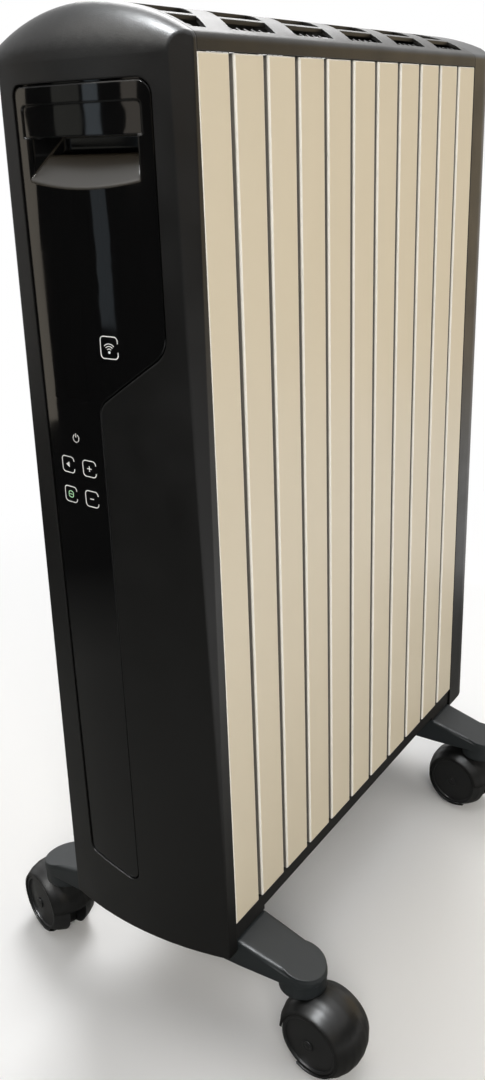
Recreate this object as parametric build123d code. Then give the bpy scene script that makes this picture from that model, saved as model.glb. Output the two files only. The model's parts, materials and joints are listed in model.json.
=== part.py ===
from build123d import *
import os
from math import sqrt

# Panel heater on four twin-wheel casters. X runs across the heater, Y from the control end to the
# cord end, Z up from the floor. Lengths are in millimetres, angles in degrees.

# Overall sizes
MODULES = 11
PITCH = 33.2
BODY_WIDTH = 134.2
STRIP_HEIGHT = 536.0
CROWN_RISE = 27.5
SHOULDER_RISE = 8.0
SHOULDER_RADIUS = 5.0
FRONT_BULGE = 16.5
REAR_DEPTH = 46.0
SEAM = 0.3

# Strips and cores
STRIP_GAP = 5.0
STRIP_DEPTH = 9.0
STRIP_WALL = 1.0
STRIP_EDGE = 1.2
WEB = 1.8
CORE_FLANGE = 1.2
CORE_CLEAR = 0.5
FIN = 1.2
FIN_GAP = 15.2
FIN_PLACES = (20.0, 44.0)
ELEMENT_WIDTH = 22.0
ELEMENT_THICK = 8.0
ELEMENT_CLEAR = 0.2
CHANNEL_WALL = 1.8
ELEMENT_END = 34.0
TERMINAL = (6.3, 0.8, 9.0)
CUTOUT_RADIUS = 8.0
CUTOUT_THICK = 7.0
CUTOUT_MODULES = (2, 8)

# Frames and tie rods
FRAME_PLATE = 2.0
FRAME_CLEAR = 0.6
FRAME_SET = 1.0
ROD_RADIUS = 3.0
ROD_CLEAR = 0.3
ROD_X = 30.5
ROD_ABOVE = 48.5
ROD_BELOW = 92.5
ROD_TAIL = 8.0
NUT_FLATS = 10.0
NUT_THICK = 5.0

# Front cover and fascia
COVER_DROP = 21.5
COVER_WALL = 2.4
FRONT_FLATNESS = 115.8
BEVEL_FOOT = 25.0
BEVEL_WIDTH = 9.1
BEVEL_EDGE = 0.5
BEVEL_ROUND = 2.5
FASCIA_GAP = 1.2
FASCIA_SINK = 0.8
FASCIA_WALL = 2.6
FASCIA_FLANGE = 4.0
FLANGE_WALL = 1.8
FASCIA_LEFT = 20.1
FASCIA_RIGHT = 18.6
FASCIA_TOP = 10.5
STEP_HIGH = (149.5, 16.0)
STEP_LOW = (2.0, 182.5, 10.0)
FOOT_RIGHT = (1.0, 40.0, 7.0)
FOOT_LEFT = (22.6, 49.0, 6.0)
TOP_LEFT_RADIUS = 6.0
TOP_RIGHT_RADIUS = 9.0

# Handle pocket in the fascia, with its heights measured down from the top of the strips
MOUTH_SIDE = 26.1
MOUTH_LOW_DOWN = 64.0
MOUTH_HIGH_DOWN = 37.5
MOUTH_RADIUS = 3.0
POCKET_WALL = 1.6
POCKET_DEEP = 4.8
POCKET_TAPER = 14.0
POCKET_ROOF_DOWN = 24.5
SCOOP_TOP_DOWN = 46.5
GRIP_HIGH_DOWN = 21.0
LIP_ROUND = 2.0
GRIP_SINK = 1.6
GRIP_THICK = 4.0
GRIP_GAP = 1.0

# Boards
BOARD_THICK = 1.6
CONTROL_BOARD_X = (-41.0, -3.0)
CONTROL_BOARD_DOWN = (265.5, 189.5)
CONTROL_ROOM = 10.0
KEY_PADS_DOWN = ((-30.0, 221.5), (-12.0, 222.5), (-30.0, 240.5), (-12.0, 241.5))
KEY_PAD = 7.0
POWER_BOARD_X = (-46.0, 46.0)
POWER_BOARD_DOWN = (197.5, 107.5)
POWER_STAND = 10.0
RELAY = (12.0, 15.0, 28.0)
RELAY_PLACES = (-24.0, 0.0, 24.0)
TAB_WIDTH = 7.0

# Top grille
GRILLE_WALL = 2.4
VENT_ROWS_IN = ((21.1, 6.1), (47.1, 24.6))
VENT_LENGTH = 44.5
VENT_SLANT = 0.82
VENT_ORIGIN = -25.0
VENT_EDGE_IN = 5.6
VENT_MARGIN = 6.0
RIB = 1.4
RIB_DROP = 9.0
RIBS_PER_VENT = 5

# Rear cover
REAR_DROP = 17.5
REAR_CORNER = 29.0
REAR_DOME_RISE = 1.5
REAR_STOP_X = 24.0
REAR_STOP_ABOVE = 6.5
REAR_STOP_BELOW = 47.5
CLEAT_Z = 225.0
CLEAT_REACH = 36.0
CLEAT_PLATE = (88.0, 44.0, 4.0)
CLEAT_STEM = (56.0, 22.0)
CLEAT_BASE = (64.0, 30.0, 3.0)
GLAND_Z = 140.0
GLAND_BORE = 4.2
GLAND_RADIUS = 7.8
GLAND_CLEAR = 0.1
GLAND_FLANGE = 11.0
GLAND_FLANGE_THICK = 3.0
GLAND_LENGTH = 16.0
SWITCH_Z = 380.0
SWITCH_FLANGE = (19.0, 34.0, 2.0)
SWITCH_BODY = (14.0, 28.0, 17.0)
SWITCH_CLEAR = 0.15
ROCKER = (10.0, 24.0)
ROCKER_ROOM = 0.6
ROCKER_TILT = 8.0
ROCKER_PIN = 1.25
ROCKER_PIN_CLEAR = 0.05
ROCKER_PIN_LENGTH = 1.2
ROCKER_PIN_DEEP = 3.0
ROCKER_RISE = 3.0
ROCKER_END = 1.0
ROCKER_LAND = 1.0
ROCKER_DRAFT = 1.7
ROCKER_KEEL = 4.8

# Base tray
TRAY_INSET = 1.7
TRAY_PLATE = 2.5
TRAY_HEIGHT = 11.2
TRAY_SKIRT = 2.2
TRAY_SLOT = 20.0
TRAY_SLOT_INSET = 17.1

# Feet
FOOT_HEIGHT = 20.2
FOOT_DROP = 14.8
FOOT_SET = 3.0
FOOT_WIDTH = 36.4
FOOT_ARM = 56.4
FOOT_SLOPE = 0.265
FOOT_TIP_RADIUS = 16.4
FOOT_WALL = 2.6
FOOT_EDGE = 3.0
FOOT_RIB = 2.0
FOOT_RIBS = (22.0, 44.0, 66.0, 84.0)
BOSS_DROP = 9.0

# Casters
STEM_SET = 17.0
STEM_RADIUS = 5.0
STEM_CLEAR = 0.05
STEM_ABOVE_AXLE = 8.4
STEM_IN_FOOT = 11.5
STEM_END_CLEAR = 0.4
TRAIL = 17.7
WHEEL_RADIUS = 27.6
WHEEL_TO_BOSS = 2.3
WHEEL_INNER = 7.0
WHEEL_OUTER = 18.2
WHEEL_RIM = 2.0
BARREL_STEP = 6.3
HUB_SINK = 1.4
HUB_GROOVE = 0.8
HUB_RISE = 0.6
AXLE_RADIUS = 3.0
AXLE_CLEAR = 0.05
AXLE_END = 4.2
WEB_CLEAR = 0.4
HOOD_CLEAR = 0.5
HOOD_WALL = 1.5
HOOD_SIDE = 0.7
HOOD_LOW = 3.0
HOOD_FRONT = 8.0
HOOD_FRONT_ABOVE = 2.4
NECK_RADIUS = 9.0
BOSS_CLEAR = 0.6
CASTER_YAW = {"front_right": -7.0, "front_left": 162.0, "rear_right": 172.0, "rear_left": 12.0}

# Places that follow from the sizes above: across the heater, then along it, then up from the floor
HALF = BODY_WIDTH / 2
FRAME_HALF = HALF - STRIP_DEPTH - FRAME_CLEAR
TRAY_HALF = HALF - TRAY_INSET
TRAY_SLOT_HALF = HALF - TRAY_SLOT_INSET
FRONT_RADIUS = BODY_WIDTH + FRONT_FLATNESS
BEVEL_X = HALF - BEVEL_WIDTH
MOUTH_HALF = HALF - MOUTH_SIDE
VENT_ROWS = [(HALF - inner, HALF - outer) for inner, outer in VENT_ROWS_IN]
VENT_EDGE = HALF - VENT_EDGE_IN
FOOT_REACH = HALF + FOOT_ARM
STEM_X = FOOT_REACH - STEM_SET
BODY_LENGTH = MODULES * PITCH
LENGTH = FRONT_BULGE + BODY_LENGTH + REAR_DEPTH + CLEAT_REACH
FRONT = FRONT_BULGE - LENGTH / 2
BACK = FRONT + BODY_LENGTH
STRIP_WIDTH = PITCH - STRIP_GAP
FIN_SPAN = PITCH - FIN_GAP
COVER_BACK = FRONT + STRIP_GAP / 2 - SEAM
REAR_FRONT = BACK - STRIP_GAP / 2 + SEAM
REAR_FACE = BACK + REAR_DEPTH
FRONT_FRAME_FACE = FRONT + FRAME_SET
REAR_FRAME_FACE = BACK - FRAME_SET
CONTROL_STAND = FRONT_BULGE - CONTROL_ROOM
FOOT_CENTRES = {"front": FRONT + FOOT_SET + FOOT_WIDTH / 2, "rear": BACK - FOOT_SET - FOOT_WIDTH / 2}
BOSS_LOW = 2 * WHEEL_RADIUS + WHEEL_TO_BOSS
FOOT_LOW = BOSS_LOW + BOSS_DROP
FOOT_TOP = FOOT_LOW + FOOT_HEIGHT
STRIP_BOTTOM = FOOT_TOP + FOOT_DROP
STRIP_TOP = STRIP_BOTTOM + STRIP_HEIGHT
TRAY_TOP = STRIP_BOTTOM - SEAM
TRAY_LOW = TRAY_TOP - TRAY_HEIGHT
COVER_BOTTOM = STRIP_BOTTOM - COVER_DROP
REAR_BOTTOM = STRIP_BOTTOM - REAR_DROP
CROWN_TOP = STRIP_TOP + CROWN_RISE
CROWN_RADIUS = (HALF**2 + (CROWN_RISE - SHOULDER_RISE) ** 2) / (2 * (CROWN_RISE - SHOULDER_RISE))
ROD_PLACES = [(x, z) for z in (STRIP_BOTTOM + ROD_ABOVE, STRIP_TOP - ROD_BELOW) for x in (-ROD_X, ROD_X)]
REAR_STOP_HEIGHTS = (STRIP_BOTTOM + REAR_STOP_ABOVE, STRIP_TOP - REAR_STOP_BELOW)
REAR_STOPS = [(x, z) for z in REAR_STOP_HEIGHTS for x in (-REAR_STOP_X, REAR_STOP_X)]
MOUTH_LOW = STRIP_TOP - MOUTH_LOW_DOWN
MOUTH_HIGH = STRIP_TOP - MOUTH_HIGH_DOWN
POCKET_ROOF = STRIP_TOP - POCKET_ROOF_DOWN
SCOOP_TOP = STRIP_TOP - SCOOP_TOP_DOWN
SCOOP_BACK = FRONT - FASCIA_WALL
GRIP_HIGH = STRIP_TOP - GRIP_HIGH_DOWN
CONTROL_BOARD = (*CONTROL_BOARD_X, *[STRIP_TOP - down for down in CONTROL_BOARD_DOWN])
POWER_BOARD = (*POWER_BOARD_X, *[STRIP_TOP - down for down in POWER_BOARD_DOWN])
KEY_PADS = [(x, STRIP_TOP - down) for x, down in KEY_PADS_DOWN]
OPENING = (
    (FASCIA_LEFT - HALF, STRIP_TOP - FASCIA_TOP, TOP_LEFT_RADIUS),
    (HALF - FASCIA_RIGHT, STRIP_TOP - FASCIA_TOP, TOP_RIGHT_RADIUS),
    (HALF - FASCIA_RIGHT, STRIP_TOP - STEP_HIGH[0], STEP_HIGH[1]),
    (STEP_LOW[0], STRIP_TOP - STEP_LOW[1], STEP_LOW[2]),
    (FOOT_RIGHT[0], COVER_BOTTOM + FOOT_RIGHT[1], FOOT_RIGHT[2]),
    (FOOT_LEFT[0] - HALF, COVER_BOTTOM + FOOT_LEFT[1], FOOT_LEFT[2]),
)
STEM_LOW = WHEEL_RADIUS + STEM_ABOVE_AXLE
STEM_HIGH = BOSS_LOW + STEM_IN_FOOT
AXLE_HALF = WHEEL_OUTER - AXLE_END
WHEEL_SPHERE = sqrt(WHEEL_RADIUS**2 + WHEEL_INNER**2)
HOOD_INSIDE = WHEEL_SPHERE + HOOD_CLEAR
HOOD_OUTSIDE = HOOD_INSIDE + HOOD_WALL
HOOD_HALF = WHEEL_OUTER + HOOD_SIDE
HOOD_FRONT_LOW = WHEEL_RADIUS + HOOD_FRONT_ABOVE


def block(x, y, z):
    """Box between a low and a high value on each axis."""
    size = Box(x[1] - x[0], y[1] - y[0], z[1] - z[0])
    return Pos((x[0] + x[1]) / 2, (y[0] + y[1]) / 2, (z[0] + z[1]) / 2) * size


def rod_y(x, y, z, radius):
    """Cylinder along Y from the low to the high value in y."""
    return Pos(x, (y[0] + y[1]) / 2, z) * Rot(90, 0, 0) * Cylinder(radius, y[1] - y[0])


def rod_z(x, y, z, radius):
    """Cylinder along Z from the low to the high value in z."""
    return Pos(x, y, (z[0] + z[1]) / 2) * Cylinder(radius, z[1] - z[0])


def along_x(face, x):
    """Extrude a face drawn in Y and Z between two X values."""
    start = Plane(origin=(x[0], 0, 0), x_dir=(0, 1, 0), z_dir=(1, 0, 0))
    return extrude(start * face, amount=x[1] - x[0])


def along_y(face, y):
    """Extrude a face drawn in X and Z between two Y values."""
    start = Plane(origin=(0, y[1], 0), x_dir=(1, 0, 0), z_dir=(0, -1, 0))
    return extrude(start * face, amount=y[1] - y[0])


def along_z(face, z):
    """Extrude a face drawn in X and Y between two Z values."""
    return extrude(Pos(0, 0, z[0]) * face, amount=z[1] - z[0])


def both_sides(shape):
    """The shape and its mirror image across the centre plane."""
    return shape + mirror(shape, about=Plane.YZ)


def crown_points(inset):
    """Shoulder start, tangent point and top of the crown, drawn inset from the outer skin."""
    half = HALF - inset
    big = CROWN_RADIUS - inset
    small = SHOULDER_RADIUS - inset
    centre_z = CROWN_TOP - CROWN_RADIUS
    shoulder_x = HALF - SHOULDER_RADIUS
    shoulder_z = centre_z + sqrt((big - small) ** 2 - shoulder_x**2)
    tangent = big / (big - small)
    tangent_z = centre_z + (shoulder_z - centre_z) * tangent
    return half, shoulder_x, shoulder_z, shoulder_x * tangent, tangent_z, small


def crown_height(x, inset):
    """Height of the crown's skin at a distance x from the centre plane."""
    half, shoulder_x, shoulder_z, tangent_x, tangent_z, small = crown_points(inset)
    x = min(abs(x), half)
    if x <= tangent_x:
        return CROWN_TOP - CROWN_RADIUS + sqrt((CROWN_RADIUS - inset) ** 2 - x**2)
    return shoulder_z + sqrt(max(small**2 - (x - shoulder_x) ** 2, 0))


def crown_face(inset, low):
    """Face in X and Z under the crown, from a low edge up."""
    half, shoulder_x, shoulder_z, tangent_x, tangent_z, small = crown_points(inset)
    middle = small / sqrt(2)
    top = CROWN_TOP - inset
    sides = Line((-half, shoulder_z), (-half, low)) + Line((-half, low), (half, low))
    sides += Line((half, low), (half, shoulder_z))
    turn = (shoulder_x + middle, shoulder_z + middle)
    sides += ThreePointArc((half, shoulder_z), turn, (tangent_x, tangent_z))
    sides += ThreePointArc((tangent_x, tangent_z), (0, top), (-tangent_x, tangent_z))
    turn = (-shoulder_x - middle, shoulder_z + middle)
    sides += ThreePointArc((-tangent_x, tangent_z), turn, (-half, shoulder_z))
    return make_face(sides)


def front_line(x):
    """Y of the front cover's skin, which is a large upright cylinder."""
    return FRONT - FRONT_BULGE + FRONT_RADIUS - sqrt(FRONT_RADIUS**2 - x**2)


def cover_section(x, inset):
    """Closed outline across the front cover at one X: upright front, then a dome up to the crown."""
    front = front_line(x) + inset
    low = COVER_BOTTOM + inset
    high = CROWN_TOP - CROWN_RADIUS + sqrt((CROWN_RADIUS - inset) ** 2 - x**2)
    bend = 0.55
    rise = high - STRIP_TOP
    start = (x, front, STRIP_TOP)
    end = (x, FRONT, high)
    pull_up = (x, front, STRIP_TOP + bend * rise)
    pull_out = (x, FRONT + bend * (front - FRONT), high)
    dome = Bezier(start, pull_up, pull_out, end)
    corners = [(x, FRONT, high), (x, COVER_BACK, high), (x, COVER_BACK, low), (x, front, low), start]
    lines = [Line(a, b) for a, b in zip(corners, corners[1:])]
    return Wire([dome, *lines])


def cover_solid(inset):
    """The front cover's full form, inset from its skin by a wall."""
    half = HALF - inset
    shares = (-1.0, -0.75, -0.4, 0.0, 0.4, 0.75, 1.0)
    body = Solid.make_loft([cover_section(share * half, inset) for share in shares])
    body &= along_y(crown_face(inset, COVER_BOTTOM), (FRONT - 2 * FRONT_BULGE, COVER_BACK))
    low = Vector(HALF, front_line(HALF), COVER_BOTTOM + BEVEL_FOOT)
    inner = Vector(BEVEL_X, front_line(BEVEL_X), STRIP_TOP)
    outer = Vector(HALF, FRONT - BEVEL_EDGE, STRIP_TOP)
    normal = (outer - low).cross(inner - low).normalized()
    if normal.X < 0:
        normal = normal * -1
    room = 4 * STRIP_HEIGHT
    bevel = Plane(origin=low - normal * inset, z_dir=normal)
    wedge = bevel * Pos(0, 0, room / 2) * Box(room, room, room)
    body -= both_sides(wedge)
    if inset:
        return body
    crease = [
        edge for edge in body.edges()
        if BEVEL_X - 1 < abs(edge.center().X) < HALF - 1 and edge.center().Y < FRONT - BEVEL_EDGE
        and edge.length > STRIP_HEIGHT / 2
    ]
    return fillet(crease, BEVEL_ROUND)


def opening_face(grow):
    """Face in X and Z of the fascia's stepped opening, grown by a margin."""
    outline = FilletPolyline(
        *[(x, z) for x, z, radius in OPENING], radius=[radius for x, z, radius in OPENING], close=True
    )
    face = make_face(outline)
    if grow:
        face = offset(face, amount=grow, kind=Kind.ARC)
    return face


def front_span(face):
    """Extrude a face in X and Z through the whole front cover."""
    return along_y(face, (FRONT - 2 * FRONT_BULGE, FRONT + FRONT_BULGE))


def make_front_cover():
    shell = cover_solid(0) - cover_solid(COVER_WALL)
    return shell - front_span(opening_face(0))


def mouth_face(high):
    """Face in X and Z of the handle's mouth in the fascia, from its lower edge up."""
    size = RectangleRounded(2 * MOUTH_HALF, high - MOUTH_LOW, MOUTH_RADIUS)
    return Pos(0, (MOUTH_LOW + high) / 2) * size


def make_control_fascia():
    """Polished insert flanged behind the cover, with a scoop under its mouth and a grip bar over it."""
    flange_depth = COVER_WALL + SEAM
    form = cover_solid(FASCIA_SINK)
    skin = (form - cover_solid(FASCIA_SINK + FASCIA_WALL)) & front_span(opening_face(-FASCIA_GAP))
    flange = cover_solid(flange_depth) - cover_solid(flange_depth + FLANGE_WALL)
    flange &= front_span(opening_face(FASCIA_FLANGE))
    frame = skin + (flange - front_span(opening_face(-FASCIA_FLANGE)))
    frame -= finger_room(0)
    frame -= front_span(mouth_face(GRIP_HIGH)) & grip_zone()
    frame += along_x(scoop_face(), (-MOUTH_HALF, MOUTH_HALF)) & form & pocket_plan(0)
    lip = [
        edge for edge in frame.edges()
        if edge.length > MOUTH_HALF and MOUTH_LOW < edge.center().Z < SCOOP_TOP - FASCIA_WALL
        and edge.center().Y < front_line(MOUTH_HALF) + FASCIA_SINK
    ]
    frame = fillet(lip, LIP_ROUND)
    grip = cover_solid(GRIP_SINK) - cover_solid(GRIP_SINK + GRIP_THICK)
    return frame + (grip & front_span(mouth_face(GRIP_HIGH)) & grip_zone())


def grip_zone():
    """Block round the grip bar, the band of the mouth above the finger slot."""
    half = MOUTH_HALF + POCKET_WALL
    return block((-half, half), (FRONT - 2 * FRONT_BULGE, BACK), (MOUTH_HIGH, GRIP_HIGH + POCKET_WALL))


def pocket_face(grow):
    """Face in Y and Z of the finger room: slot, scoop below it and room behind the grip bar."""
    reach = FRONT - 2 * FRONT_BULGE
    behind = front_line(MOUTH_HALF) + GRIP_SINK + GRIP_THICK + GRIP_GAP
    points = [
        (reach, MOUTH_LOW),
        (FRONT - FRONT_BULGE, MOUTH_LOW),
        (SCOOP_BACK, SCOOP_TOP),
        (FRONT + POCKET_DEEP, SCOOP_TOP),
        (FRONT + POCKET_DEEP, POCKET_ROOF),
        (behind, POCKET_ROOF),
        (behind, MOUTH_HIGH),
        (reach, MOUTH_HIGH),
    ]
    face = make_face(FilletPolyline(*points, radius=[0, 0, 0, 3, 3, 2, 0, 0], close=True))
    if grow:
        face = offset(face, amount=grow, kind=Kind.INTERSECTION)
    return face


def pocket_plan(grow):
    """Upright block that narrows from the mouth to the back of the finger room."""
    half = MOUTH_HALF + grow
    near = FRONT - FRONT_BULGE
    back = FRONT + POCKET_DEEP + grow
    end = half - POCKET_TAPER * (back - near) / (back - grow - near)
    right = [(half, near - FRONT_BULGE), (half, near), (end, back)]
    left = [(-x, y) for x, y in reversed(right)]
    face = make_face(Polyline(*right, *left, close=True))
    return Pos(0, 0, COVER_BOTTOM) * extrude(face, amount=STRIP_TOP - COVER_BOTTOM)


def finger_room(grow):
    """The handle's finger room, grown by a wall."""
    half = MOUTH_HALF + grow
    return along_x(pocket_face(grow), (-half, half)) & pocket_plan(grow)


def scoop_face():
    """Face in Y and Z of the scoop's plate, from the lip of the mouth up to its back edge."""
    drop = FASCIA_WALL * sqrt(1 + ((SCOOP_TOP - MOUTH_LOW) / (SCOOP_BACK - FRONT + FRONT_BULGE)) ** 2)
    lip = (FRONT - FRONT_BULGE, MOUTH_LOW)
    back = (SCOOP_BACK, SCOOP_TOP)
    return make_face(Polyline(lip, back, (back[0], back[1] - drop), (lip[0], lip[1] - drop), close=True))


def make_handle_pocket():
    """Moulded cup behind the fascia, trimmed to the backs of the fascia, its scoop and its grip bar."""
    half = MOUTH_HALF + POCKET_WALL
    inner = MOUTH_HALF + SEAM / 2
    cup = finger_room(POCKET_WALL) - finger_room(0)
    scoop = block((-inner, inner), (FRONT - 2 * FRONT_BULGE, SCOOP_BACK + SEAM), (COVER_BOTTOM, SCOOP_TOP))
    cup -= scoop & pocket_plan(SEAM / 2)
    back = block((-half, half), (FRONT, BACK), (COVER_BOTTOM, STRIP_TOP))
    below = (cover_solid(FASCIA_SINK + FASCIA_WALL + SEAM / 2) + back) - grip_zone()
    above = (cover_solid(GRIP_SINK + GRIP_THICK + SEAM) + back) & grip_zone()
    return cup & (below + above)


def rod_holes(y):
    """Square punched holes for the tie rods between two Y values."""
    half = ROD_RADIUS + ROD_CLEAR
    return [block((x - half, x + half), y, (z - half, z + half)) for x, z in ROD_PLACES]


def tab(x, y, z):
    """Square stand-off tab along Y."""
    half = TAB_WIDTH / 2
    return block((x - half, x + half), y, (z - half, z + half))


def board_corners(board):
    """Stand-off places, one tab's width in from the board's corners."""
    left, right, low, high = board
    heights = (low + TAB_WIDTH, high - TAB_WIDTH)
    return [(x, z) for x in (left + TAB_WIDTH, right - TAB_WIDTH) for z in heights]


def make_front_frame():
    """Bulkhead behind the front cover, with tabs for the control board and a window for the handle."""
    y = (FRONT_FRAME_FACE, FRONT_FRAME_FACE + FRAME_PLATE)
    frame = block((-FRAME_HALF, FRAME_HALF), y, (TRAY_TOP, STRIP_TOP)) - rod_holes(y)
    for x, z in board_corners(CONTROL_BOARD):
        frame += tab(x, (FRONT_FRAME_FACE - CONTROL_STAND, FRONT_FRAME_FACE), z)
    half = MOUTH_HALF + 2 * POCKET_WALL
    window_z = (MOUTH_LOW - 2 * POCKET_WALL, POCKET_ROOF + 2 * POCKET_WALL)
    return frame - block((-half, half), y, window_z)


def make_rear_frame():
    """Bulkhead behind the last module, with tabs for the power board and stops for the rear cover."""
    y = (REAR_FRAME_FACE - FRAME_PLATE, REAR_FRAME_FACE)
    frame = block((-FRAME_HALF, FRAME_HALF), y, (TRAY_TOP, STRIP_TOP)) - rod_holes(y)
    for x, z in board_corners(POWER_BOARD):
        frame += tab(x, (REAR_FRAME_FACE, REAR_FRAME_FACE + POWER_STAND), z)
    for x, z in REAR_STOPS:
        frame += tab(x, (REAR_FRAME_FACE, REAR_FACE - COVER_WALL), z)
    return frame


def make_control_board():
    left, right, low, high = CONTROL_BOARD
    back = FRONT_FRAME_FACE - CONTROL_STAND
    front = back - BOARD_THICK
    inside = cover_solid(COVER_WALL + SEAM + FLANGE_WALL + SEAM)
    half = KEY_PAD / 2
    board = block((left, right), (front, back), (low, high))
    for x, z in KEY_PADS:
        board += block((x - half, x + half), (FRONT - FRONT_BULGE, front), (z - half, z + half)) & inside
    return board


def make_power_board():
    left, right, low, high = POWER_BOARD
    front = REAR_FRAME_FACE + POWER_STAND
    back = front + BOARD_THICK
    board = block((left, right), (front, back), (low, high))
    wide, deep, tall = RELAY
    for x in RELAY_PLACES:
        middle = (low + high) / 2
        heights = (middle - tall / 2, middle + tall / 2)
        board += block((x - wide / 2, x + wide / 2), (back, back + deep), heights)
    return board


def module_y(index):
    """Y of the middle of one module."""
    return FRONT + (index + 0.5) * PITCH


def make_strip(index):
    """Pressed strip on the photographed side: a shallow tray, open towards the core."""
    middle = module_y(index)
    y = (middle - STRIP_WIDTH / 2, middle + STRIP_WIDTH / 2)
    skin = block((HALF - STRIP_DEPTH, HALF), y, (STRIP_BOTTOM, STRIP_TOP))
    skin = fillet(skin.faces().sort_by(Axis.X)[-1].edges(), STRIP_EDGE)
    inner_y = (y[0] + STRIP_WALL, y[1] - STRIP_WALL)
    inner_z = (STRIP_BOTTOM + STRIP_WALL, STRIP_TOP - STRIP_WALL)
    return skin - block((0, HALF - STRIP_WALL), inner_y, inner_z)


def make_core(index):
    """Extruded core: web, fins, element channel, and a flange against each strip."""
    middle = module_y(index)
    seat = HALF - STRIP_WALL
    z = (TRAY_TOP, STRIP_TOP - STRIP_WALL - CORE_CLEAR)
    core = block((-seat, seat), (middle - WEB / 2, middle + WEB / 2), z)
    flange_y = STRIP_WIDTH / 2 - STRIP_WALL - CORE_CLEAR
    flange_z = (STRIP_BOTTOM + STRIP_WALL + CORE_CLEAR, z[1])
    for side in (-1, 1):
        x = sorted((side * (seat - CORE_FLANGE), side * seat))
        core += block(x, (middle - flange_y, middle + flange_y), flange_z)
        under = sorted((side * (HALF - STRIP_DEPTH), side * HALF))
        core -= block(under, (middle - PITCH, middle + PITCH), (TRAY_TOP, flange_z[0]))
        for place in FIN_PLACES:
            fin = (side * place - FIN / 2, side * place + FIN / 2)
            core += block(fin, (middle - FIN_SPAN / 2, middle + FIN_SPAN / 2), z)
    hole_x = ELEMENT_WIDTH / 2 + ELEMENT_CLEAR
    hole_y = ELEMENT_THICK / 2 + ELEMENT_CLEAR
    wall_x = hole_x + CHANNEL_WALL
    wall_y = hole_y + CHANNEL_WALL
    core += block((-wall_x, wall_x), (middle - wall_y, middle + wall_y), z)
    core -= block((-hole_x, hole_x), (middle - hole_y, middle + hole_y), z)
    return core - rod_holes((middle - PITCH / 2, middle + PITCH / 2))


def make_element(index):
    """Flat heating bar in a core's channel, with two terminal tabs at its foot."""
    middle = module_y(index)
    low = TRAY_TOP + ELEMENT_END
    y = (middle - ELEMENT_THICK / 2, middle + ELEMENT_THICK / 2)
    bar = block((-ELEMENT_WIDTH / 2, ELEMENT_WIDTH / 2), y, (low, STRIP_TOP - ELEMENT_END))
    wide, thick, tall = TERMINAL
    for x in (-ELEMENT_WIDTH / 4, ELEMENT_WIDTH / 4):
        tab_y = (middle - thick / 2, middle + thick / 2)
        bar += block((x - wide / 2, x + wide / 2), tab_y, (low - tall, low))
    return bar


def make_cutout(index):
    """Round thermal cut-out on the face of a core's web, between two fins."""
    x = (FIN_PLACES[0] + FIN_PLACES[1]) / 2
    face = module_y(index) + WEB / 2
    return rod_y(x, (face, face + CUTOUT_THICK), STRIP_TOP - 2 * ELEMENT_END, CUTOUT_RADIUS)


def make_tie_rods():
    """Rods through all the cores, each with a hexagon head or nut seated on the frame at both ends."""
    hexagon = RegularPolygon(NUT_FLATS / 2, 6, major_radius=False)
    rods = []
    for x, z in ROD_PLACES:
        rod = rod_y(x, (FRONT_FRAME_FACE - NUT_THICK, REAR_FRAME_FACE + ROD_TAIL), z, ROD_RADIUS)
        for start in (FRONT_FRAME_FACE - NUT_THICK, REAR_FRAME_FACE):
            rod += along_y(Pos(x, z) * hexagon, (start, start + NUT_THICK))
        rods.append(rod)
    return rods


def vent_face(row, number):
    """Slanted vent in X and Y, cut off square where it would run into a cover."""
    near = FRONT + VENT_ORIGIN + 2 * PITCH * number
    points = [
        (x, near + along + (VENT_EDGE - x) * VENT_SLANT)
        for x, along in ((row[0], 0), (row[1], 0), (row[1], VENT_LENGTH), (row[0], VENT_LENGTH))
    ]
    vent = make_face(Polyline(*points, close=True))
    room = Rectangle(BODY_WIDTH, BODY_LENGTH - 2 * VENT_MARGIN)
    return vent & (Pos(0, (FRONT + BACK) / 2) * room)


def make_top_grille():
    low = STRIP_TOP + SEAM
    y = (COVER_BACK + SEAM, REAR_FRONT - SEAM)
    shell = along_y(crown_face(0, low) - crown_face(GRILLE_WALL, low), y)
    inside = along_y(crown_face(GRILLE_WALL / 2, low), y)
    cuts = []
    ribs = []
    for row in VENT_ROWS:
        for number in range(MODULES // 2 + 1):
            cuts.append(along_z(vent_face(row, number), (low, CROWN_TOP + 1)))
    row = VENT_ROWS[0]
    for number in range(MODULES // 2 + 1):
        start = FRONT + VENT_ORIGIN + 2 * PITCH * number
        for step in range(1, RIBS_PER_VENT + 1):
            middle = start + VENT_LENGTH * step / (RIBS_PER_VENT + 1)
            if middle < y[0] + VENT_MARGIN:
                continue
            rib_low = crown_height(row[1], 0) - RIB_DROP
            rib_y = (middle - RIB / 2, middle + RIB / 2)
            ribs.append(block((row[0] + RIB_DROP, HALF - 1), rib_y, (rib_low, CROWN_TOP)))
    for cut in cuts:
        shell -= both_sides(cut)
    comb = Part() + [both_sides(rib) & inside for rib in ribs]
    return shell + comb


def rear_plan(inset):
    """Face in X and Y of the rear cover: straight sides, round corners and a flat back."""
    half = HALF - inset
    face = REAR_FACE - inset
    radius = REAR_CORNER - inset
    corners = [(-half, REAR_FRONT), (half, REAR_FRONT), (half, face), (-half, face)]
    return make_face(FilletPolyline(*corners, radius=[0, 0, radius, radius], close=True))


def rear_side(inset, low):
    """Face in Y and Z of the rear cover: upright back, then a round turn up to the crown."""
    face = REAR_FACE - inset
    top = CROWN_TOP + REAR_DOME_RISE - inset
    radius = REAR_CORNER - inset
    corners = [(REAR_FRONT, low), (face, low), (face, top), (REAR_FRONT, top)]
    return make_face(FilletPolyline(*corners, radius=[0, 0, radius, 0], close=True))


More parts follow.
